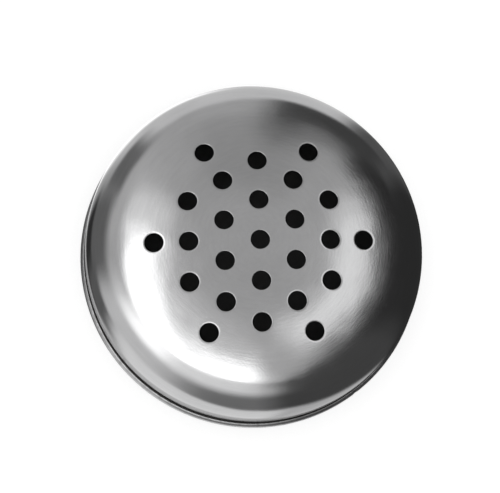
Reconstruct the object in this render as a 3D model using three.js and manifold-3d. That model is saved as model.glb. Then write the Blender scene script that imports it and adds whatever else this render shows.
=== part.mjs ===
// Perforated screw-on shaker lid: a pressed steel dome with 25 punched holes, crimped round a
// rolled collar that carries the jar thread and the curled rim, with a flat sealing ring inside.
// Millimetres, +Z up. The lid stands on its curled rim at z = 0, its axis is the Z axis, and
// one row of the holes lies along +X.

import * as THREE from 'three';
import { mergeVertices } from 'three/addons/utils/BufferGeometryUtils.js';
import Module from 'manifold-3d';

// Whole lid
const TOTAL_HEIGHT = 22; // rim to the top of the crown
const RIM_RADIUS = 37; // over the curled rim
const FIT_GAP = 0.3; // between pieces that meet

// Dome
const DOME_SHEET = 0.5;
const WALL_RADIUS = 36.15; // outside of the upright wall
const CROWN_RADIUS = 112; // outside of the shallow crown
const SHOULDER_RADIUS = 9; // outside of the bend between crown and wall
const DOME_EDGE_HEIGHT = 4.5; // underside of the turned-in lower edge
const EDGE_BEND_RADIUS = 0.7; // outside of that turn
const EDGE_BEND_DEGREES = 80;

// Holes
const HOLE_RADIUS = 2;
const HOLE_PITCH = 8.6; // of the triangular grid in the middle
const STAR_RADIUS = 22.1; // of the six outermost holes

// Collar
const COLLAR_SHEET = 0.4;
const FLANGE_INNER_RADIUS = 30.6;
const FLANGE_TOP_HEIGHT = 12;
const FLANGE_BEND_RADIUS = 2.2; // outside
const STEP_HEIGHT = 0.4; // from the upper wall in to the waist that the dome's edge grips
const RIM_CURL_RADIUS = 1.1; // outside of the curl
const RIM_LAND_DEGREES = 40; // of the curl, flattened where the lid stands
const RIM_CURL_END_DEGREES = 425; // where the curl stops, which leaves it open at the top

// Jar thread: one right-hand start of 6 turns to the inch
const THREAD_PITCH = 25.4 / 6;
const THREAD_TURNS = 1;
const THREAD_CREST_RADIUS = 33.8;
const THREAD_HALF_WIDTH = 1.15;
const THREAD_START_HEIGHT = 3.6;
const THREAD_FADE_TURNS = 0.05; // run-in and run-out

// Sealing ring
const SEAL_INNER_RADIUS = 30.4;
const SEAL_OUTER_RADIUS = 33.7;
const SEAL_THICKNESS = 1;
const SEAL_EDGE_CHAMFER = 0.2;

// Facets
const DOME_SEGMENTS = 60;
const COLLAR_SEGMENTS = 48;
const HOLE_SEGMENTS = 16;
const CROWN_STEPS = 6;
const SHOULDER_STEPS = 7;
const WALL_STEPS = 6; // in the collar's upper wall, and in its waist

const wasm = await Module();
wasm.setup();

const radians = THREE.MathUtils.degToRad;

// Points on an arc in the (radius, height) plane, both ends included.
function arc(centre, radius, fromDegrees, toDegrees, steps) {
  return Array.from({ length: steps + 1 }, (_, i) => {
    const angle = radians(THREE.MathUtils.lerp(fromDegrees, toDegrees, i / steps));
    return new THREE.Vector2(Math.cos(angle), Math.sin(angle)).multiplyScalar(radius).add(centre);
  });
}

// The line at a distance to the left of a polyline, with mitred corners.
function offsetLine(line, distance) {
  const leftOf = (from, to) => {
    const along = to.clone().sub(from).normalize();
    return new THREE.Vector2(-along.y, along.x);
  };
  return line.map((point, i) => {
    const before = leftOf(line[Math.max(i - 1, 0)], line[Math.max(i, 1)]);
    const after = leftOf(line[Math.min(i, line.length - 2)], line[Math.min(i + 1, line.length - 1)]);
    const mitre = before.clone().add(after).normalize();
    return point.clone().addScaledVector(mitre, distance / mitre.dot(before));
  });
}

// A profile in the (radius, height) plane, turned about the Z axis.
function turned(profile, segments) {
  return new THREE.LatheGeometry(profile, segments).rotateX(Math.PI / 2);
}

function toSolid(geometry) {
  const bare = geometry.clone();
  bare.deleteAttribute('normal');
  bare.deleteAttribute('uv');
  const merged = mergeVertices(bare);
  const index = merged.index.array;
  const triangles = [];
  for (let i = 0; i < index.length; i += 3) {
    const [a, b, c] = index.slice(i, i + 3);
    if (a !== b && b !== c && c !== a) triangles.push(a, b, c);
  }
  return new wasm.Manifold(
    new wasm.Mesh({
      numProp: 3,
      vertProperties: new Float32Array(merged.attributes.position.array),
      triVerts: new Uint32Array(triangles),
    }),
  );
}

function toGeometry(solid) {
  const { vertProperties, triVerts } = solid.getMesh();
  const geometry = new THREE.BufferGeometry();
  geometry.setAttribute('position', new THREE.BufferAttribute(vertProperties, 3));
  geometry.setIndex(new THREE.BufferAttribute(triVerts, 1));
  geometry.computeVertexNormals();
  return geometry;
}

// Dome ----------------------------------------------------------------------------------------

const crownCentreHeight = TOTAL_HEIGHT - CROWN_RADIUS;

// The middle of the sheet, from the axis over the crown and shoulder to the turned-in edge.
function domeMidline() {
  const half = DOME_SHEET / 2;
  const shoulderAxis = WALL_RADIUS - SHOULDER_RADIUS;
  const centreDistance = CROWN_RADIUS - SHOULDER_RADIUS;
  const shoulderHeight = crownCentreHeight + Math.sqrt(centreDistance ** 2 - shoulderAxis ** 2);
  const crownEnd = 90 - THREE.MathUtils.radToDeg(Math.asin(shoulderAxis / centreDistance));
  const edgeCentre = new THREE.Vector2(
    WALL_RADIUS - EDGE_BEND_RADIUS,
    DOME_EDGE_HEIGHT + EDGE_BEND_RADIUS,
  );
  const crownCentre = new THREE.Vector2(0, crownCentreHeight);
  const shoulderCentre = new THREE.Vector2(shoulderAxis, shoulderHeight);
  return [
    ...arc(crownCentre, CROWN_RADIUS - half, 90, crownEnd, CROWN_STEPS).slice(0, -1),
    ...arc(shoulderCentre, SHOULDER_RADIUS - half, crownEnd, 0, SHOULDER_STEPS),
    ...arc(edgeCentre, EDGE_BEND_RADIUS - half, 0, -EDGE_BEND_DEGREES, 3),
  ];
}

// A centre hole, three rings of a triangular grid, and six holes further out.
function holeCentres() {
  const rings = [
    { radius: HOLE_PITCH, start: 30 },
    { radius: HOLE_PITCH * Math.sqrt(3), start: 0 },
    { radius: HOLE_PITCH * 2, start: 30 },
    { radius: STAR_RADIUS, start: 0 },
  ];
  const centres = [new THREE.Vector2(0, 0)];
  for (const { radius, start } of rings) {
    for (let k = 0; k < 6; k += 1) {
      const angle = radians(start + 60 * k);
      centres.push(new THREE.Vector2(radius * Math.cos(angle), radius * Math.sin(angle)));
    }
  }
  return centres;
}

// The punch goes square through the sheet, so its axis passes through the crown's centre.
function punch(centre) {
  const height = Math.sqrt(CROWN_RADIUS ** 2 - centre.lengthSq());
  const axis = new THREE.Vector3(centre.x, centre.y, height).normalize();
  const reach = 4 * DOME_SHEET;
  const turn = new THREE.Quaternion().setFromUnitVectors(new THREE.Vector3(0, 1, 0), axis);
  return new THREE.CylinderGeometry(HOLE_RADIUS, HOLE_RADIUS, reach, HOLE_SEGMENTS)
    .applyQuaternion(turn)
    .translate(centre.x, centre.y, crownCentreHeight + height - DOME_SHEET / 2);
}

function perforatedDome() {
  const midline = domeMidline();
  const outside = offsetLine(midline, DOME_SHEET / 2);
  const inside = offsetLine(midline, -DOME_SHEET / 2);
  outside[0].x = 0;
  inside[0].x = 0;
  let dome = toSolid(turned([...inside, ...outside.reverse()], DOME_SEGMENTS));
  for (const centre of holeCentres()) dome = dome.subtract(toSolid(punch(centre)));
  return toGeometry(dome);
}

// Collar --------------------------------------------------------------------------------------

// Radii of the middle of the sheet
const upperRadius = WALL_RADIUS - DOME_SHEET - FIT_GAP - COLLAR_SHEET / 2;
const waistRadius = RIM_RADIUS - 2 * RIM_CURL_RADIUS + COLLAR_SHEET / 2;

const stepBottom = DOME_EDGE_HEIGHT + DOME_SHEET + FIT_GAP;
const stepTop = stepBottom + STEP_HEIGHT;
const flangeBendHeight = FLANGE_TOP_HEIGHT - FLANGE_BEND_RADIUS;

// The middle of the sheet, from the flange's inner edge down the wall and round the curled rim.
function collarMidline() {
  const half = COLLAR_SHEET / 2;
  const bend = FLANGE_BEND_RADIUS - half;
  const curl = RIM_CURL_RADIUS - half;
  const landHalf = RIM_LAND_DEGREES / 2;
  const flangeCentre = new THREE.Vector2(upperRadius - bend, flangeBendHeight);
  const curlCentre = new THREE.Vector2(
    RIM_RADIUS - RIM_CURL_RADIUS,
    curl * Math.cos(radians(landHalf)) + half,
  );
  const straight = (radius, top, bottom) =>
    Array.from({ length: WALL_STEPS }, (_, i) => {
      const down = (i + 1) / WALL_STEPS;
      return new THREE.Vector2(radius, THREE.MathUtils.lerp(top, bottom, down));
    });
  return [
    new THREE.Vector2(FLANGE_INNER_RADIUS, FLANGE_TOP_HEIGHT - half),
    ...arc(flangeCentre, bend, 90, 0, 3),
    ...straight(upperRadius, flangeBendHeight, stepTop),
    new THREE.Vector2(waistRadius, stepBottom),
    ...straight(waistRadius, stepBottom, curlCentre.y),
    ...arc(curlCentre, curl, 180, 270 - landHalf, 3).slice(1),
    ...arc(curlCentre, curl, 270 + landHalf, RIM_CURL_END_DEGREES, 6),
  ];
}

// How much of the way to its crest the rolled thread has come at an angle and a height: a
// rounded ridge that climbs one pitch in each turn and fades out at both ends.
function threadShare(angle, height) {
  let share = 0;
  const firstTurn = THREE.MathUtils.euclideanModulo(angle, 2 * Math.PI) / (2 * Math.PI);
  for (let turn = firstTurn; turn <= THREAD_TURNS; turn += 1) {
    const aside = (height - THREAD_START_HEIGHT - THREAD_PITCH * turn) / THREAD_HALF_WIDTH;
    if (Math.abs(aside) >= 1) continue;
    const toEnd = Math.min(turn, THREAD_TURNS - turn);
    const fade = THREE.MathUtils.smoothstep(toEnd, 0, THREAD_FADE_TURNS);
    share = Math.max(share, fade * Math.cos((Math.PI / 2) * aside) ** 2);
  }
  return share;
}

function threadedCollar() {
  const midline = collarMidline();
  const outline = [
    ...offsetLine(midline, -COLLAR_SHEET / 2),
    ...offsetLine(midline, COLLAR_SHEET / 2).reverse(),
  ];
  outline.push(outline[0].clone());
  const collar = turned(outline, COLLAR_SEGMENTS);
  const position = collar.attributes.position;
  const point = new THREE.Vector3();
  for (let i = 0; i < position.count; i += 1) {
    point.fromBufferAttribute(position, i);
    const radius = Math.hypot(point.x, point.y);
    if (radius > upperRadius + COLLAR_SHEET || point.z > flangeBendHeight) continue;
    const up = THREE.MathUtils.clamp((point.z - stepBottom) / STEP_HEIGHT, 0, 1);
    const wallRadius = THREE.MathUtils.lerp(waistRadius, upperRadius, up);
    const toCrest = wallRadius - COLLAR_SHEET / 2 - THREAD_CREST_RADIUS;
    const scale = 1 - (toCrest * threadShare(Math.atan2(point.y, point.x), point.z)) / radius;
    position.setXYZ(i, point.x * scale, point.y * scale, point.z);
  }
  return toGeometry(toSolid(collar));
}

// Sealing ring --------------------------------------------------------------------------------

function sealingRing() {
  const top = FLANGE_TOP_HEIGHT - COLLAR_SHEET - FIT_GAP;
  const bottom = top - SEAL_THICKNESS;
  const cut = SEAL_EDGE_CHAMFER;
  const outline = [
    [SEAL_INNER_RADIUS + cut, bottom],
    [SEAL_OUTER_RADIUS - cut, bottom],
    [SEAL_OUTER_RADIUS, bottom + cut],
    [SEAL_OUTER_RADIUS, top],
    [SEAL_INNER_RADIUS, top],
    [SEAL_INNER_RADIUS, bottom + cut],
    [SEAL_INNER_RADIUS + cut, bottom],
  ].map(([radius, height]) => new THREE.Vector2(radius, height));
  return turned(outline, COLLAR_SEGMENTS);
}

// Assembly ------------------------------------------------------------------------------------

const polishedSteel = new THREE.MeshStandardMaterial({
  color: 0xb9babb,
  roughness: 0.2,
  metalness: 1,
});
const rolledSteel = new THREE.MeshStandardMaterial({
  color: 0xa6a7a8,
  roughness: 0.3,
  metalness: 1,
});
const whiteSilicone = new THREE.MeshStandardMaterial({
  color: 0xd8d7d2,
  roughness: 0.65,
  metalness: 0,
});

function named(name, geometry, material) {
  const mesh = new THREE.Mesh(geometry, material);
  mesh.name = name;
  return mesh;
}

const lid = new THREE.Group();
lid.add(named('perforated_dome', perforatedDome(), polishedSteel));
lid.add(named('threaded_collar', threadedCollar(), rolledSteel));
lid.add(named('sealing_ring', sealingRing(), whiteSilicone));

export default lid;
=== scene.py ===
"""A perforated screw-on shaker lid of polished steel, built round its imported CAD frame.

The dome, the collar and the sealing ring are each rebuilt as a fine mesh inside the CAD's box.
They follow their CAD nodes but for rounded sheet edges and a more gradual bend from crown to
shoulder, and have procedural finishes. Lengths are metres.
"""

import math

import bpy
import numpy as np
from mathutils import Matrix, Vector, geometry


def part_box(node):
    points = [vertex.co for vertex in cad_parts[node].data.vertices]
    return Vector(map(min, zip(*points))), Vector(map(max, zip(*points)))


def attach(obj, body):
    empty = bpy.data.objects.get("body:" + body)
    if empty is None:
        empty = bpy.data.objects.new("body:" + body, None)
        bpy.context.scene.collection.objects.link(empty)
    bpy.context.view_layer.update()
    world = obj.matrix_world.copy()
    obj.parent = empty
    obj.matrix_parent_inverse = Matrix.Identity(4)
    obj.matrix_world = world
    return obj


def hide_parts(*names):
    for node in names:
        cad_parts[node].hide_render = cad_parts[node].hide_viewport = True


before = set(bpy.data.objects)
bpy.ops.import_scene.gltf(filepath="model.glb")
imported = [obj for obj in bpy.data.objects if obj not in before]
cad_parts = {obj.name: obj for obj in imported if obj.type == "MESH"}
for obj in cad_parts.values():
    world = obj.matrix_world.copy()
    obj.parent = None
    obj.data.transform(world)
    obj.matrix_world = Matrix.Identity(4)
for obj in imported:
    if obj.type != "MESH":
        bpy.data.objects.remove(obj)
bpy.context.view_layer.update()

MM = 0.001
TAU = 2 * math.pi

# ---------------------------------------------------------------------------------------------
# Sizes: heights and radii come from the frame, the rest repeats the CAD's driving dimensions
# ---------------------------------------------------------------------------------------------

DOME_LOW, DOME_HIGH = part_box("perforated_dome")
COLLAR_LOW, COLLAR_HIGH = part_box("threaded_collar")
SEAL_LOW, SEAL_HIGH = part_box("sealing_ring")

DOME_SHEET = 0.5 * MM
WALL_RADIUS = DOME_HIGH.x
CROWN_RADIUS = 112 * MM
SHOULDER_RADIUS = 9 * MM
EDGE_BEND_RADIUS = 0.7 * MM
EDGE_BEND_TURN = math.radians(80)

HOLE_RADIUS = 2 * MM
HOLE_PITCH = 8.6 * MM
STAR_RADIUS = 22.1 * MM
PUNCH_ROLLOVER = 0.10 * MM  # rounding that the punch leaves on the outside
PUNCH_BREAK = 0.05 * MM  # the smaller one inside

RIM_RADIUS = COLLAR_HIGH.x
COLLAR_SHEET = 0.4 * MM
FLANGE_INNER_RADIUS = 30.6 * MM
FLANGE_TOP = COLLAR_HIGH.z
FLANGE_BEND_RADIUS = 2.2 * MM
STEP_HEIGHT = 0.4 * MM
FIT_GAP = 0.3 * MM
RIM_CURL_RADIUS = 1.1 * MM
RIM_LAND_HALF = math.radians(20)
RIM_CURL_END = math.radians(425)

THREAD_PITCH = 25.4 * MM / 6
THREAD_TURNS = 1.0
THREAD_CREST_RADIUS = 33.8 * MM
THREAD_HALF_WIDTH = 1.15 * MM
THREAD_START_HEIGHT = 3.6 * MM
THREAD_FADE_TURNS = 0.05

TURN_STEPS = 320  # facets round every turned surface
QUARTER = math.pi / 2

# ---------------------------------------------------------------------------------------------
# Camera
# ---------------------------------------------------------------------------------------------

CAMERA_DISTANCE = 0.45
CAMERA_TILT = math.radians(12.5)  # of the lid's axis from the line of sight
CAMERA_LEAN = math.radians(63.5)  # where the axis leans in the picture, from its right side
CAMERA_ROLL = math.radians(0.7)  # of the row of holes along +X in the picture
CAMERA_LENS_MM = 152.0
AIM_HEIGHT = 11 * MM
AIM_RIGHT = -1.13 * MM
AIM_UP = 0.63 * MM


def make_camera():
    round_axis = CAMERA_LEAN - CAMERA_ROLL + math.pi
    back = Vector((
        math.sin(CAMERA_TILT) * math.cos(round_axis),
        math.sin(CAMERA_TILT) * math.sin(round_axis),
        math.cos(CAMERA_TILT),
    ))
    # The picture's right is +X turned back by the roll, square to the line of sight.
    along_row = (Vector((1, 0, 0)) - back * back.x).normalized()
    right = Matrix.Rotation(-CAMERA_ROLL, 3, back) @ along_row
    up = back.cross(right)
    aim = Vector((0, 0, AIM_HEIGHT)) + right * AIM_RIGHT + up * AIM_UP
    data = bpy.data.cameras.new("camera")
    data.lens = CAMERA_LENS_MM
    camera = bpy.data.objects.new("camera", data)
    turn = Matrix((right, up, back)).transposed().to_4x4()
    camera.matrix_world = Matrix.Translation(aim + back * CAMERA_DISTANCE) @ turn
    bpy.context.scene.collection.objects.link(camera)
    bpy.context.scene.camera = camera


# ---------------------------------------------------------------------------------------------
# Mesh helpers
# ---------------------------------------------------------------------------------------------

SHEET_END_STEPS = 4


def arc(centre, radius, start, end, steps):
    """Points (radius, height) on an arc, both ends included."""
    angles = np.linspace(start, end, steps + 1)
    return [(centre[0] + radius * math.cos(a), centre[1] + radius * math.sin(a)) for a in angles]


def straight(start, end, steps):
    """Points between two (radius, height) points, without the first."""
    share = np.linspace(0, 1, steps + 1)[1:, None]
    return [tuple(p) for p in np.array(start) + share * (np.array(end) - np.array(start))]


def offset_line(line, distance):
    """The line at a distance to the left of a polyline, with mitred corners."""
    line = np.array(line)
    along = np.diff(line, axis=0)
    along /= np.linalg.norm(along, axis=1)[:, None]
    left = np.stack([-along[:, 1], along[:, 0]], axis=1)
    before, after = np.vstack([left[:1], left]), np.vstack([left, left[-1:]])
    mitre = before + after
    mitre /= np.linalg.norm(mitre, axis=1)[:, None]
    return line + mitre * (distance / (mitre * before).sum(axis=1))[:, None]


def round_end(first, last, outward):
    """Points of a half circle between a sheet's two sides at its cut edge, ends left out.

    It bulges to the left of the way from first to last if outward is 1, to the right if -1.
    """
    first, last = np.array(first), np.array(last)
    middle, half = (first + last) / 2, (first - last) / 2
    ahead = outward * np.array([half[1], -half[0]])
    angles = np.linspace(0, math.pi, SHEET_END_STEPS + 1)[1:-1]
    return [tuple(middle + half * math.cos(a) + ahead * math.sin(a)) for a in angles]


def new_piece(name, vertices, faces, node, material):
    """A smooth mesh that stands for a CAD node and rides on the root body."""
    mesh = bpy.data.meshes.new(name)
    mesh.from_pydata(vertices, [], faces)
    mesh.validate()
    mesh.shade_smooth()
    mesh.materials.append(material)
    piece = bpy.data.objects.new(name, mesh)
    bpy.context.scene.collection.objects.link(piece)
    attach(piece, "root")
    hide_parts(node)
    return piece


def turned(profile):
    """Vertices and quads of a closed (radius, height) outline turned about Z, outline index first."""
    steps = TURN_STEPS
    angles = np.arange(steps) * TAU / steps
    r, z = np.array(profile).T
    points = np.stack([
        r[:, None] * np.cos(angles),
        r[:, None] * np.sin(angles),
        np.repeat(z[:, None], steps, axis=1),
    ], axis=-1)
    rows = len(profile)
    faces = []
    for i in range(rows):
        j = (i + 1) % rows
        for k in range(steps):
            m = (k + 1) % steps
            faces.append((i * steps + k, i * steps + m, j * steps + m, j * steps + k))
    return points, faces


# ---------------------------------------------------------------------------------------------
# Dome: one pressed sheet with 25 punched holes
# ---------------------------------------------------------------------------------------------

# The crown is highest at the edge of the centre hole, which is the frame's highest point.
CENTRE_HOLE_EDGE = HOLE_RADIUS + PUNCH_ROLLOVER
CROWN_CENTRE = DOME_HIGH.z - math.sqrt(CROWN_RADIUS**2 - CENTRE_HOLE_EDGE**2)
SHOULDER_AXIS = WALL_RADIUS - SHOULDER_RADIUS
CROWN_END = math.asin(SHOULDER_AXIS / (CROWN_RADIUS - SHOULDER_RADIUS))  # from the axis
SHOULDER_HEIGHT = CROWN_CENTRE + (CROWN_RADIUS - SHOULDER_RADIUS) * math.cos(CROWN_END)
EDGE_BEND_HEIGHT = DOME_LOW.z + EDGE_BEND_RADIUS * math.sin(EDGE_BEND_TURN)

HOLE_STEPS = 48
ROLLOVER_STEPS = 4
HOLE_RINGS = (0.35 * MM, 0.75 * MM, 1.25 * MM)  # rings of points round each hole, past its rollover
CROWN_GRID = 0.8 * MM
CUT_EDGE_SHARE = 0.998  # of the hole's radius: a triangle nearer its axis than this is cut away
MERGE_DISTANCE = 1e-7  # of the crown's radius
RIM_TOLERANCE = 1e-5  # of the crown's radius
BEND_BLEND_HALF = 2 * MM  # half of the stretch over which crown and shoulder run together
SHOULDER_STEPS = 40
WALL_STEPS = 8
EDGE_BEND_STEPS = 14


def hole_axes():
    """Unit vectors from the crown's centre through the centre hole, a triangular grid and a star."""
    rings = [
        (HOLE_PITCH, 30),
        (HOLE_PITCH * math.sqrt(3), 0),
        (HOLE_PITCH * 2, 30),
        (STAR_RADIUS, 0),
    ]
    axes = [(0.0, 0.0, 1.0)]
    for radius, start in rings:
        lean = math.asin(radius / CROWN_RADIUS)
        for k in range(6):
            angle = math.radians(start + 60 * k)
            level = math.sin(lean)
            axes.append((level * math.cos(angle), level * math.sin(angle), math.cos(lean)))
    return np.array(axes)


def off_axis(directions, axes):
    """Distance on the crown from each direction to its nearest hole axis."""
    lean = np.linalg.norm(np.cross(directions[:, None], axes[None]), axis=2)
    return (lean * CROWN_RADIUS).min(axis=1)


def crown_plan():
    """The crown seen from above, cut into triangles round its holes.

    Returns the unit vectors to its points, the triangles, and the points' distances from the
    nearest hole's axis.
    """
    axes = hole_axes()
    turn = np.arange(HOLE_STEPS) * TAU / HOLE_STEPS
    roll = PUNCH_ROLLOVER * (1 - np.sin(np.linspace(QUARTER, 0, ROLLOVER_STEPS + 1)))
    rings = [HOLE_RADIUS + d for d in [*roll, *(PUNCH_ROLLOVER + d for d in HOLE_RINGS)]]
    plan, edges = [], []
    for axis in axes:
        side = np.cross((0, 1, 0), axis)
        side /= np.linalg.norm(side)
        other = np.cross(axis, side)
        around = np.cos(turn)[:, None] * side + np.sin(turn)[:, None] * other
        for n, ring in enumerate(rings):
            lean = math.asin(ring / CROWN_RADIUS)
            first = len(plan)
            plan.extend((math.cos(lean) * axis + math.sin(lean) * around)[:, :2])
            if n == 0:
                edges += [(first + k, first + (k + 1) % HOLE_STEPS) for k in range(HOLE_STEPS)]
    end = math.sin(CROWN_END)
    rim_turn = np.arange(TURN_STEPS) * TAU / TURN_STEPS
    plan.extend(np.stack([end * np.cos(rim_turn), end * np.sin(rim_turn)], axis=1))
    grid = CROWN_GRID / CROWN_RADIUS
    for radius in np.arange(grid, end - grid / 2, grid):
        count = round(TAU * radius / grid)
        angles = np.arange(count) * TAU / count
        ring = np.stack([radius * np.cos(angles), radius * np.sin(angles)], axis=1)
        height = np.full((count, 1), math.sqrt(1 - radius**2))
        clear = off_axis(np.hstack([ring, height]), axes) > rings[-1] + CROWN_GRID / 2
        plan.extend(ring[clear])
    made = geometry.delaunay_2d_cdt([Vector(p) for p in plan], edges, [], 0, MERGE_DISTANCE)
    flat = np.array([tuple(v) for v in made[0]])
    directions = np.hstack([flat, np.sqrt(1 - (flat**2).sum(axis=1))[:, None]])
    triangles = np.array([tuple(f) for f in made[2]])
    middles = directions[triangles].mean(axis=1)
    middles /= np.linalg.norm(middles, axis=1)[:, None]
    triangles = triangles[off_axis(middles, axes) > HOLE_RADIUS * CUT_EDGE_SHARE]
    a, b, c = (flat[triangles[:, n]] for n in range(3))
    turned_over = np.cross(b - a, c - a) < 0
    triangles[turned_over] = triangles[turned_over][:, ::-1]
    return directions, triangles, off_axis(directions, axes)


def rounding(distance, radius):
    """How far a rounded edge has fallen at a distance from the hole's axis."""
    share = np.clip((HOLE_RADIUS + radius - distance) / radius, 0, 1)
    return radius * (1 - np.sqrt(1 - share**2))


def blend_drop(radius):
    """How far the sheet sinks where its bend tightens evenly from the crown's to the shoulder's."""
    half = BEND_BLEND_HALF
    tighter = (1 / SHOULDER_RADIUS - 1 / CROWN_RADIUS) / math.cos(CROWN_END) ** 3
    past = np.clip(radius - CROWN_RADIUS * math.sin(CROWN_END), -half, half)
    before = (past + half) ** 3 / (12 * half)
    after = half**2 / 12 + half * past / 4 - (half * past**2 / 2 - past**3 / 6) / (2 * half)
    return tighter * np.where(past < 0, before, after)


def make_dome(material):
    directions, triangles, distance = crown_plan()
    centre = np.array((0, 0, CROWN_CENTRE))
    outside = CROWN_RADIUS - rounding(distance, PUNCH_ROLLOVER)
    inside = CROWN_RADIUS - DOME_SHEET + rounding(distance, PUNCH_BREAK)
    count = len(directions)
    level = np.linalg.norm(directions[:, :2], axis=1)
    drop = np.outer(blend_drop(level * CROWN_RADIUS), (0, 0, 1))
    vertices = np.vstack([
        centre + directions * outside[:, None] - drop,
        centre + directions * inside[:, None] - drop,
    ])
    faces = [tuple(t) for t in triangles] + [tuple(t[::-1] + count) for t in triangles]

    # Walls of the holes, on the edges that only one triangle has
    used = {}
    for t in triangles:
        for a, b in zip(t, np.roll(t, -1)):
            used[a, b] = True
    on_rim = level > math.sin(CROWN_END) - RIM_TOLERANCE
    for a, b in used:
        if (b, a) not in used and not (on_rim[a] and on_rim[b]):
            faces.append((b, a, a + count, b + count))

    # Shoulder, wall and turned-in edge, from the crown's outside round to its inside
    rim = np.flatnonzero(on_rim)
    angle = np.arctan2(directions[rim, 1], directions[rim, 0]) % TAU
    slot_of = np.round(angle / TAU * TURN_STEPS).astype(int) % TURN_STEPS
    rim = rim[np.argsort(slot_of)]
    shoulder = (SHOULDER_AXIS, SHOULDER_HEIGHT)
    bend = (WALL_RADIUS - EDGE_BEND_RADIUS, EDGE_BEND_HEIGHT)
    start = QUARTER - CROWN_END

    def side(inset):
        """The sheet's outline at a depth under its outside, from the crown's end to the edge."""
        bent = []
        for r, z in arc(shoulder, SHOULDER_RADIUS - inset, start, 0, SHOULDER_STEPS):
            outer = SHOULDER_AXIS + (r - SHOULDER_AXIS) * SHOULDER_RADIUS / (SHOULDER_RADIUS - inset)
            bent.append((r, z - float(blend_drop(outer))))
        wall_foot = (WALL_RADIUS - inset, EDGE_BEND_HEIGHT)
        return [
            *bent,
            *straight(bent[-1], wall_foot, WALL_STEPS),
            *arc(bend, EDGE_BEND_RADIUS - inset, 0, -EDGE_BEND_TURN, EDGE_BEND_STEPS)[1:],
        ]

    out, back = side(0), side(DOME_SHEET)[::-1]
    rows = [*out[1:], *round_end(out[-1], back[0], outward=1), *back[:-1]]
    points, _ = turned(rows)
    first = len(vertices)
    vertices = np.vstack([vertices, points.reshape(-1, 3)])
    rings = [rim, *(first + np.arange(len(rows) * TURN_STEPS).reshape(-1, TURN_STEPS)), rim + count]
    for upper, lower in zip(rings, rings[1:]):
        for k in range(TURN_STEPS):
            m = (k + 1) % TURN_STEPS
            faces.append((upper[m], upper[k], lower[k], lower[m]))
    return new_piece("dome", vertices, faces, "perforated_dome", material)


# ---------------------------------------------------------------------------------------------
# Collar: flange, threaded wall and curled rim, one rolled sheet
# ---------------------------------------------------------------------------------------------

UPPER_RADIUS = WALL_RADIUS - DOME_SHEET - FIT_GAP - COLLAR_SHEET / 2  # middle of the sheet
WAIST_RADIUS = RIM_RADIUS - 2 * RIM_CURL_RADIUS + COLLAR_SHEET / 2
STEP_BOTTOM = EDGE_BEND_HEIGHT - EDGE_BEND_RADIUS + DOME_SHEET + FIT_GAP
STEP_TOP = STEP_BOTTOM + STEP_HEIGHT
FLANGE_BEND_HEIGHT = FLANGE_TOP - FLANGE_BEND_RADIUS

FLANGE_STEPS = 8
FLANGE_BEND_STEPS = 12
COLLAR_WALL_STEPS = 24  # each of the wall's two straights
WALL_STEP_STEPS = 4
CURL_START_STEPS = 12
CURL_STEPS = 36

NICK_TURN = math.radians(-54)  # a small dent in the curled rim
NICK_WIDTH = 0.35 * MM
NICK_DEPTH = 0.12 * MM


def collar_midline():
    """The middle of the collar's sheet, from the flange's inner edge to the end of the curl."""
    half = COLLAR_SHEET / 2
    bend = FLANGE_BEND_RADIUS - half
    curl = RIM_CURL_RADIUS - half
    curl_centre = (RIM_RADIUS - RIM_CURL_RADIUS, curl * math.cos(RIM_LAND_HALF) + half)
    flange = FLANGE_TOP - half
    flange_start = (FLANGE_INNER_RADIUS, flange)
    flange_end = (UPPER_RADIUS - bend, flange)
    bend_centre = (UPPER_RADIUS - bend, FLANGE_BEND_HEIGHT)
    upper_end, waist_end = (UPPER_RADIUS, STEP_TOP), (WAIST_RADIUS, STEP_BOTTOM)
    land_start, land_end = 3 * QUARTER - RIM_LAND_HALF, 3 * QUARTER + RIM_LAND_HALF
    return [
        flange_start,
        *straight(flange_start, flange_end, FLANGE_STEPS),
        *arc(bend_centre, bend, QUARTER, 0, FLANGE_BEND_STEPS)[1:],
        *straight((UPPER_RADIUS, FLANGE_BEND_HEIGHT), upper_end, COLLAR_WALL_STEPS),
        *straight(upper_end, waist_end, WALL_STEP_STEPS),
        *straight(waist_end, (WAIST_RADIUS, curl_centre[1]), COLLAR_WALL_STEPS),
        *arc(curl_centre, curl, 2 * QUARTER, land_start, CURL_START_STEPS)[1:],
        *arc(curl_centre, curl, land_end, RIM_CURL_END, CURL_STEPS),
    ]


def thread_share(angle, height):
    """How much of the way to its crest the rolled thread has come, as the CAD has it."""
    share = np.zeros(np.broadcast(angle, height).shape)
    first_turn = (angle % TAU) / TAU
    for whole in range(math.ceil(THREAD_TURNS) + 1):
        turn = first_turn + whole
        aside = (height - THREAD_START_HEIGHT - THREAD_PITCH * turn) / THREAD_HALF_WIDTH
        to_end = np.clip(np.minimum(turn, THREAD_TURNS - turn) / THREAD_FADE_TURNS, 0, 1)
        fade = to_end**2 * (3 - 2 * to_end)
        ridge = np.where(abs(aside) < 1, np.cos(QUARTER * aside) ** 2, 0)
        share = np.maximum(share, fade * ridge)
    return share


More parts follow.
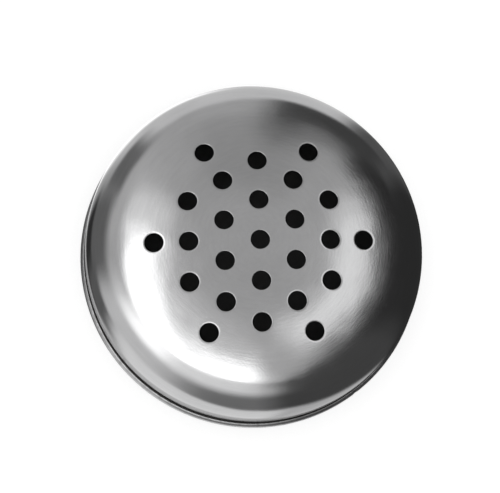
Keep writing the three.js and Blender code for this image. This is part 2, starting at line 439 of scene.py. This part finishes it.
def make_collar(material):
    midline = collar_midline()
    right = offset_line(midline, -COLLAR_SHEET / 2)
    left = offset_line(midline, COLLAR_SHEET / 2)[::-1]
    outline = [
        *right,
        *round_end(right[-1], left[0], outward=-1),
        *left,
        *round_end(left[-1], right[0], outward=-1),
    ]
    points, faces = turned(outline)
    angle = np.arctan2(points[..., 1], points[..., 0])
    radius = np.hypot(points[..., 0], points[..., 1])
    height = points[..., 2]
    wall = (radius < UPPER_RADIUS + COLLAR_SHEET) & (height < FLANGE_BEND_HEIGHT)
    up = np.clip((height - STEP_BOTTOM) / STEP_HEIGHT, 0, 1)
    bore = WAIST_RADIUS + up * (UPPER_RADIUS - WAIST_RADIUS) - COLLAR_SHEET / 2
    to_crest = bore - THREAD_CREST_RADIUS
    inward = np.where(wall, to_crest * thread_share(angle, height), 0)
    along_rim = np.angle(np.exp(1j * (angle - NICK_TURN))) * RIM_RADIUS
    on_curl = np.clip((radius - RIM_RADIUS + RIM_CURL_RADIUS) / RIM_CURL_RADIUS, 0, 1)
    inward = inward + NICK_DEPTH * on_curl * np.exp(-((along_rim / NICK_WIDTH) ** 2))
    points[..., :2] *= (1 - inward / radius)[..., None]
    vertices = points.reshape(-1, 3)
    return new_piece("collar", vertices, faces, "threaded_collar", material)


# ---------------------------------------------------------------------------------------------
# Sealing ring
# ---------------------------------------------------------------------------------------------

SEAL_INNER_RADIUS = 30.4 * MM
SEAL_CORNER = 0.22 * MM
SEAL_CORNER_STEPS = 5


def make_seal(material):
    inner, outer = SEAL_INNER_RADIUS + SEAL_CORNER, SEAL_HIGH.x - SEAL_CORNER
    low, high = SEAL_LOW.z + SEAL_CORNER, SEAL_HIGH.z - SEAL_CORNER
    outline = []
    for n, corner in enumerate([(outer, low), (outer, high), (inner, high), (inner, low)]):
        outline += arc(corner, SEAL_CORNER, QUARTER * (n - 1), QUARTER * n, SEAL_CORNER_STEPS)
    points, faces = turned(outline)
    vertices = points.reshape(-1, 3)
    return new_piece("seal", vertices, faces, "sealing_ring", material)


# ---------------------------------------------------------------------------------------------
# Materials
# ---------------------------------------------------------------------------------------------

# Lines that run round the axis: how many to a metre across them, and the scale of the noise
# along them on a circle of radius 1
STREAKS = (1500.0, 5.0)
FINE_LINES = (9000.0, 12.0)

NOISE_RANGE = (0.3, 0.7)  # where nearly all values of a noise lie

# Steel: noise scales per metre, and what each does to colour, roughness and relief
GRAIN_SCALE = 2400.0
GRAIN_DEPTH = 0.0035 * MM
WAVE_SCALE = 120.0
SMUDGE_SCALE = 55.0
SMUDGE_DETAIL = 4.0
SMUDGE_NOISE_ROUGHNESS = 0.6
SMUDGE_RANGE = (0.35, 0.75)
SMUDGE_ROUGHER = (-0.02, 0.04)
LINE_ROUGHER = 0.02
MARK_ROUGHER = 0.1
MARK_FADE = 0.06
MARKS = [(0.6, 1500.0, 0.15, 0.76), (-1.1, 1900.0, 0.12, 0.77)]  # as Nodes.scratches takes them
TONE_RANGE = (0.2, 0.8)
DARKER, LIGHTER = 0.93, 1.04

# Painted shade in the rim: a dark colour laid into the open curl and on the waist above it, where the
# gap lies in shade
GROOVE_SHADE_COLOUR = (0.16, 0.156, 0.15, 1.0)
GROOVE_SHADE_ROUGHER = 0.3
GROOVE_SHADE_UNEVEN_SCALE = 900.0
GROOVE_SHADE_UNEVEN = 0.05 * MM
GROOVE_SHADE_FADE = (0.2 * MM, 0.38 * MM)  # past the curl's inner face
WAIST_FADE = (2.0 * MM, 3.0 * MM)  # heights
WAIST_LEFT_OVER = 0.3
WAIST_FOOT = (0.9 * MM, 1.2 * MM)  # heights
WAIST_SKIN = 0.1 * MM
WAIST_REACH = 0.8 * MM  # from the rim's outermost line

# Silicone
SILICONE_COLOURS = ((0.70, 0.69, 0.65, 1.0), (0.80, 0.79, 0.76, 1.0))
SILICONE_ROUGHNESS = (0.55, 0.7)
SILICONE_CLOUD_SCALE = 180.0
SILICONE_GRAIN_SCALE = 6000.0
SILICONE_GRAIN_DEPTH = 0.01 * MM
SILICONE_GRAIN_STRENGTH = 0.4
SILICONE_SCATTER = 0.1
SILICONE_SCATTER_DEPTH = 0.5 * MM

MIX_FIRST, MIX_SECOND, MIX_COLOUR = 6, 7, 2  # colour sockets of a mix node


class Nodes:
    """A material's node tree, filled by short calls."""

    def __init__(self, name):
        self.material = bpy.data.materials.new(name)
        self.material.use_nodes = True
        self.tree = self.material.node_tree
        self.shader = self.tree.nodes["Principled BSDF"]

    def add(self, kind, inputs=(), **settings):
        node = self.tree.nodes.new(kind)
        for key, value in settings.items():
            setattr(node, key, value)
        for key, value in dict(inputs).items():
            self.set(node.inputs[key], value)
        return node

    def set(self, socket, value):
        if isinstance(value, bpy.types.NodeSocket):
            self.tree.links.new(value, socket)
        else:
            socket.default_value = value

    def math(self, operation, first, second=0.0):
        node = self.add("ShaderNodeMath", operation=operation)
        self.set(node.inputs[0], first)
        self.set(node.inputs[1], second)
        return node.outputs[0]

    def mixed(self, factor, first, second):
        node = self.add("ShaderNodeMix", data_type="RGBA")
        self.set(node.inputs["Factor"], factor)
        self.set(node.inputs[MIX_FIRST], first)
        self.set(node.inputs[MIX_SECOND], second)
        return node.outputs[MIX_COLOUR]

    def relief(self, height, depth, strength=1.0, under=None):
        """A bump, laid over another one if that is given."""
        inputs = {"Height": height, "Strength": strength, "Distance": depth}
        if under:
            inputs["Normal"] = under
        return self.add("ShaderNodeBump", inputs).outputs[0]

    def noise(self, vector, scale, detail=2.0, roughness=0.5):
        inputs = {"Vector": vector, "Scale": scale, "Detail": detail, "Roughness": roughness}
        return self.add("ShaderNodeTexNoise", inputs).outputs["Fac"]

    def spread(self, value, low, high, to_low=0.0, to_high=1.0):
        """The value moved from one range to another, and held inside it."""
        keys = ("Value", "From Min", "From Max", "To Min", "To Max")
        inputs = dict(zip(keys, (value, low, high, to_low, to_high)))
        return self.add("ShaderNodeMapRange", inputs, clamp=True).outputs["Result"]

    def length(self, vector):
        return self.add("ShaderNodeVectorMath", {0: vector}, operation="LENGTH").outputs["Value"]

    def split(self, vector):
        return self.add("ShaderNodeSeparateXYZ", {"Vector": vector}).outputs

    def joined(self, x, y, z=0.0):
        return self.add("ShaderNodeCombineXYZ", {"X": x, "Y": y, "Z": z}).outputs[0]

    def round_lines(self, position, per_metre, round_scale):
        """Noise drawn out round the Z axis, as turning and polishing leave it."""
        parts = self.split(position)
        level = self.joined(parts["X"], parts["Y"])
        unit = self.add("ShaderNodeVectorMath", {0: level}, operation="NORMALIZE").outputs[0]
        round_part = self.split(unit)
        across = self.math("SUBTRACT", self.length(level), parts["Z"])
        vector = self.joined(
            self.math("MULTIPLY", round_part["X"], round_scale),
            self.math("MULTIPLY", round_part["Y"], round_scale),
            self.math("MULTIPLY", across, per_metre),
        )
        return self.noise(vector, 1.0)

    def scratches(self, position, angle, per_metre, length_share, above):
        """Thin straight marks: noise drawn out one way, of which only the peaks show."""
        turned_way = self.add("ShaderNodeMapping", {
            "Vector": position,
            "Rotation": (0.0, 0.0, angle),
            "Scale": (per_metre * length_share, per_metre, per_metre * length_share),
        }).outputs[0]
        return self.spread(self.noise(turned_way, 1.0, 1.0), above, above + MARK_FADE)


def steel(name, colour, roughness, line_depth, wave_depth, groove=None):
    """Bare polished steel: lines round the axis, grain, slow waves, smudges and fine marks, with
    painted shade in a groove if a mask for it is given.
    """
    n = Nodes(name)
    position = n.add("ShaderNodeTexCoord").outputs["Object"]
    streaks = n.round_lines(position, *STREAKS)
    fine_lines = n.round_lines(position, *FINE_LINES)
    grain = n.noise(position, GRAIN_SCALE, 1.0)
    waves = n.noise(position, WAVE_SCALE, 1.0)
    cloud = n.noise(position, SMUDGE_SCALE, SMUDGE_DETAIL, SMUDGE_NOISE_ROUGHNESS)
    smudge = n.spread(cloud, *SMUDGE_RANGE)
    marks = n.math("MAXIMUM", *(n.scratches(position, *mark) for mark in MARKS))
    tone = n.math("ADD", n.math("MULTIPLY", streaks, 0.5), n.math("MULTIPLY", smudge, 0.5))
    darker = (*(c * DARKER for c in colour), 1.0)
    lighter = (*(c * LIGHTER for c in colour), 1.0)
    base = n.mixed(n.spread(tone, *TONE_RANGE), darker, lighter)
    rough = n.spread(smudge, 0.0, 1.0, *(roughness + rougher for rougher in SMUDGE_ROUGHER))
    rough = n.math("ADD", rough, n.spread(fine_lines, *NOISE_RANGE, -LINE_ROUGHER, LINE_ROUGHER))
    rough = n.math("ADD", rough, n.math("MULTIPLY", marks, MARK_ROUGHER))
    if groove:
        # Painted shade: the groove mask darkens the colour and raises the roughness in the rim
        groove_shade = groove(n, position)
        base = n.mixed(groove_shade, base, GROOVE_SHADE_COLOUR)
        rough = n.math("ADD", rough, n.math("MULTIPLY", groove_shade, GROOVE_SHADE_ROUGHER))
    normal = n.relief(waves, wave_depth)
    normal = n.relief(streaks, line_depth, under=normal)
    normal = n.relief(grain, GRAIN_DEPTH, under=normal)
    n.set(n.shader.inputs["Base Color"], base)
    n.set(n.shader.inputs["Metallic"], 1.0)
    n.set(n.shader.inputs["Roughness"], rough)
    n.set(n.shader.inputs["Normal"], normal)
    return n.material


def painted_groove_shade(n, position):
    """How much painted shade darkens the inside of the open curl and the waist above it."""
    parts = n.split(position)
    radius = n.length(n.joined(parts["X"], parts["Y"]))
    height = parts["Z"]
    from_curl = n.length(n.joined(
        n.math("SUBTRACT", radius, RIM_RADIUS - RIM_CURL_RADIUS),
        n.math("SUBTRACT", height, RIM_CURL_RADIUS),
    ))
    uneven = n.noise(position, GROOVE_SHADE_UNEVEN_SCALE, 3.0)
    depth = n.math(
        "ADD", from_curl, n.spread(uneven, *NOISE_RANGE, -GROOVE_SHADE_UNEVEN, GROOVE_SHADE_UNEVEN)
    )
    inner_face = RIM_CURL_RADIUS - COLLAR_SHEET
    fade_start, fade_end = (inner_face + past for past in GROOVE_SHADE_FADE)
    in_curl = n.spread(depth, fade_start, fade_end, 1.0, 0.0)
    low = n.spread(height, *WAIST_FADE, 1.0, WAIST_LEFT_OVER)
    outside = n.spread(radius, WAIST_RADIUS, WAIST_RADIUS + WAIST_SKIN)
    above_floor = n.spread(height, *WAIST_FOOT)
    near = n.spread(radius, RIM_RADIUS - RIM_CURL_RADIUS, RIM_RADIUS - WAIST_REACH, 1.0, 0.0)
    on_waist = n.math("MULTIPLY", n.math("MULTIPLY", low, outside), above_floor)
    return n.math("MAXIMUM", in_curl, n.math("MULTIPLY", on_waist, near))


def silicone():
    n = Nodes("white_silicone")
    position = n.add("ShaderNodeTexCoord").outputs["Object"]
    cloud = n.noise(position, SILICONE_CLOUD_SCALE, 3.0)
    grain = n.noise(position, SILICONE_GRAIN_SCALE)
    n.set(n.shader.inputs["Base Color"], n.mixed(cloud, *SILICONE_COLOURS))
    n.set(n.shader.inputs["Roughness"], n.spread(cloud, *NOISE_RANGE, *SILICONE_ROUGHNESS))
    n.set(n.shader.inputs["Subsurface Weight"], SILICONE_SCATTER)
    n.set(n.shader.inputs["Subsurface Scale"], SILICONE_SCATTER_DEPTH)
    bump = n.relief(grain, SILICONE_GRAIN_DEPTH, SILICONE_GRAIN_STRENGTH)
    n.set(n.shader.inputs["Normal"], bump)
    return n.material


# ---------------------------------------------------------------------------------------------
# Studio
# ---------------------------------------------------------------------------------------------

STUDIO_RADIUS = 0.9
SHELL_AZIMUTHS = 240
SHELL_ANGLES = 180
SHELL_POLE_GAP = 0.001  # radians left open round each pole

FLOOR_HALF = 3.0
FLOOR_GREY = 0.50
FLOOR_GLOW = 0.62
MATT = 0.9
# Painted shade: a dark sheet inside the lid's mouth stands for its shaded inside
DARK_DISC_RADIUS = 34.6 * MM
DARK_DISC_HEIGHT = 0.1 * MM
DARK_DISC_GREY = 0.045
DARK_DISC_STEPS = 64
WORLD_STRENGTH = 1.0
WHITE = (1.0, 1.0, 1.0, 1.0)


def glow_material():
    """A plain white light, as strong as the mesh attribute "glow" says."""
    material = bpy.data.materials.new("studio")
    material.use_nodes = True
    tree = material.node_tree
    tree.nodes.clear()
    emission = tree.nodes.new("ShaderNodeEmission")
    emission.inputs["Color"].default_value = WHITE
    held = tree.nodes.new("ShaderNodeAttribute")
    held.attribute_name = "glow"
    tree.links.new(held.outputs["Fac"], emission.inputs["Strength"])
    output = tree.nodes.new("ShaderNodeOutputMaterial")
    tree.links.new(emission.outputs[0], output.inputs["Surface"])
    return material


def matt_material(name, grey):
    """A material's node tree, set to a plain matt grey."""
    n = Nodes(name)
    n.set(n.shader.inputs["Base Color"], (grey, grey, grey, 1.0))
    n.set(n.shader.inputs["Roughness"], MATT)
    return n


def stage_mesh(name, vertices, faces, material):
    mesh = bpy.data.meshes.new(name)
    mesh.from_pydata([tuple(v) for v in vertices], [], faces)
    mesh.materials.append(material)
    thing = bpy.data.objects.new(name, mesh)
    bpy.context.scene.collection.objects.link(thing)
    return thing


def reflected_only(thing):
    """Let a thing show in reflections, and neither light nor hide anything else."""
    thing.visible_camera = False
    thing.visible_diffuse = False
    thing.visible_shadow = False
    thing.visible_transmission = False
    thing.visible_volume_scatter = False


# What stands round the lid, each painted over those listed before it: name, azimuth and its half
# width and feather, angle from straight up and its half width and feather, lift of that angle
# per degree of azimuth, brightness. Angles in degrees.
STUDIO_BASE = 0.50
STUDIO_FLATS = [
    ("far upper card", 82, 14, 16, 34, 6, 8, 0.0, 0.40),
    ("left upper wall", 142, 14, 14, 40, 12, 10, 0.0, 0.58),
    ("far backdrop", 92, 34, 14, 125, 45, 14, 0.0, 0.76),
    ("far floor glare", 110, 12, 14, 147, 12, 12, 0.0, 1.5),
    ("far left flag", 135, 6, 12, 78, 17, 14, 0.0, 0.18),
    ("left wall", 165, 12, 14, 95, 20, 25, 0.0, 0.165),
    ("left skirting", 168, 16, 12, 134, 12, 10, 0.0, 0.035),
    ("near sweep", 215, 18, 22, 85, 30, 25, 0.0, 0.76),
    ("near wall", 272, 14, 40, 90, 14, 30, 0.0, 0.22),
    ("left near skirting", 186, 6, 14, 122, 14, 14, 0.0, 0.14),
    ("right flag", 8, 36, 16, 110, 75.5, 3, 0.2, 0.034),
    ("right near flag", -50, 22, 16, 87, 55, 7, -0.2, 0.075),
    ("right far flag", 42, 4, 12, 100, 35, 14, 0.0, 0.12),
    ("near floor", 248, 34, 16, 151, 39, 12, 0.2, 0.93),
    ("right near floor", 312, 18, 16, 180, 44, 16, 0.7, 0.60),
    ("shaded floor", 248, 50, 20, 180, 14, 14, 0.0, 0.5),
    ("far right flag", 58, 14, 12, 64, 14, 12, -0.3, 0.07),
    ("bright edge", -6, 29, 26, 26, 2, 6, 0.2, 1.18),
    ("key glow", 232, 32, 32, 36, 8, 26, 0.0, 1.02),
    ("key softbox", 211, 7, 18, 40, 4, 22, 0.0, 1.8),
    ("key wing", 142, 8, 10, 29, 2.5, 7, 0.0, 1.0),
    ("key corner", 163, 10, 12, 25.5, 1.5, 6, 0.0, 2.3),
    ("key panel", 226, 44, 22, 24.5, 2.5, 5, 0.0, 2.4),
]


def soft_step(distance, half, feather):
    """1 within half of the middle, 0 beyond half plus feather, and smooth between."""
    share = np.clip((half + feather - distance) / feather, 0, 1)
    return share**2 * (3 - 2 * share)


def studio_brightness(azimuth, polar):
    """Brightness of the studio in directions given in degrees."""
    glow = np.full(np.shape(azimuth), STUDIO_BASE)
    for _, side, half, feather, lean, half_lean, lean_feather, lift, value in STUDIO_FLATS:
        aside = (azimuth - side + 180) % 360 - 180
        cover = soft_step(abs(aside), half, feather)
        cover = cover * soft_step(abs(polar - lean - lift * aside), half_lean, lean_feather)
        glow = glow + (value - glow) * cover
    return glow


def make_studio_shell():
    a, t = np.meshgrid(
        np.arange(SHELL_AZIMUTHS) * TAU / SHELL_AZIMUTHS,
        np.linspace(SHELL_POLE_GAP, math.pi - SHELL_POLE_GAP, SHELL_ANGLES),
        indexing="ij",
    )
    vertices = STUDIO_RADIUS * np.stack(
        [np.sin(t) * np.cos(a), np.sin(t) * np.sin(a), np.cos(t)], axis=-1
    )
    faces = []
    for i in range(SHELL_AZIMUTHS):
        this, other = i * SHELL_ANGLES, (i + 1) % SHELL_AZIMUTHS * SHELL_ANGLES
        for k in range(SHELL_ANGLES - 1):
            faces.append((this + k, this + k + 1, other + k + 1, other + k))
    glow = studio_brightness(np.degrees(a), np.degrees(t))
    shell = stage_mesh("studio_shell", vertices.reshape(-1, 3), faces, glow_material())
    held = shell.data.attributes.new("glow", "FLOAT", "POINT")
    held.data.foreach_set("value", glow.ravel().astype(np.float32))
    reflected_only(shell)


def make_floor():
    half = FLOOR_HALF
    corners = [(-half, -half, 0), (half, -half, 0), (half, half, 0), (-half, half, 0)]
    n = matt_material("pale_floor", FLOOR_GREY)
    n.set(n.shader.inputs["Specular IOR Level"], 0.0)
    n.set(n.shader.inputs["Emission Color"], WHITE)
    n.set(n.shader.inputs["Emission Strength"], FLOOR_GLOW)
    floor = stage_mesh("floor", corners, [(0, 1, 2, 3)], n.material)
    floor.visible_glossy = False  # reflections take the lower half of the studio shell instead


def make_painted_shade_disc():
    """A dark sheet on the floor inside the lid's mouth: painted shade standing for the lid's shaded
    inside, so that the holes look dark.
    """
    turn = np.arange(DARK_DISC_STEPS) * TAU / DARK_DISC_STEPS
    radius, height = DARK_DISC_RADIUS, DARK_DISC_HEIGHT
    ring = [(radius * math.cos(t), radius * math.sin(t), height) for t in turn]
    material = matt_material("painted_shade_sheet", DARK_DISC_GREY).material
    stage_mesh("painted_shade_sheet", ring, [tuple(range(DARK_DISC_STEPS))], material)


def make_world():
    world = bpy.data.worlds.new("studio")
    world.use_nodes = True
    back = world.node_tree.nodes["Background"]
    back.inputs["Color"].default_value = WHITE
    back.inputs["Strength"].default_value = WORLD_STRENGTH
    bpy.context.scene.world = world


make_camera()
make_dome(steel(
    "polished_steel", (0.60, 0.60, 0.605), roughness=0.14,
    line_depth=0.0035 * MM, wave_depth=0.07 * MM,
))
# The collar's steel carries painted shade in its rim
make_collar(steel(
    "rolled_steel", (0.56, 0.56, 0.565), roughness=0.28,
    line_depth=0.006 * MM, wave_depth=0.02 * MM, groove=painted_groove_shade,
))
make_seal(silicone())
make_floor()
make_painted_shade_disc()
make_studio_shell()
make_world()
bpy.context.scene.view_settings.view_transform = "Standard"
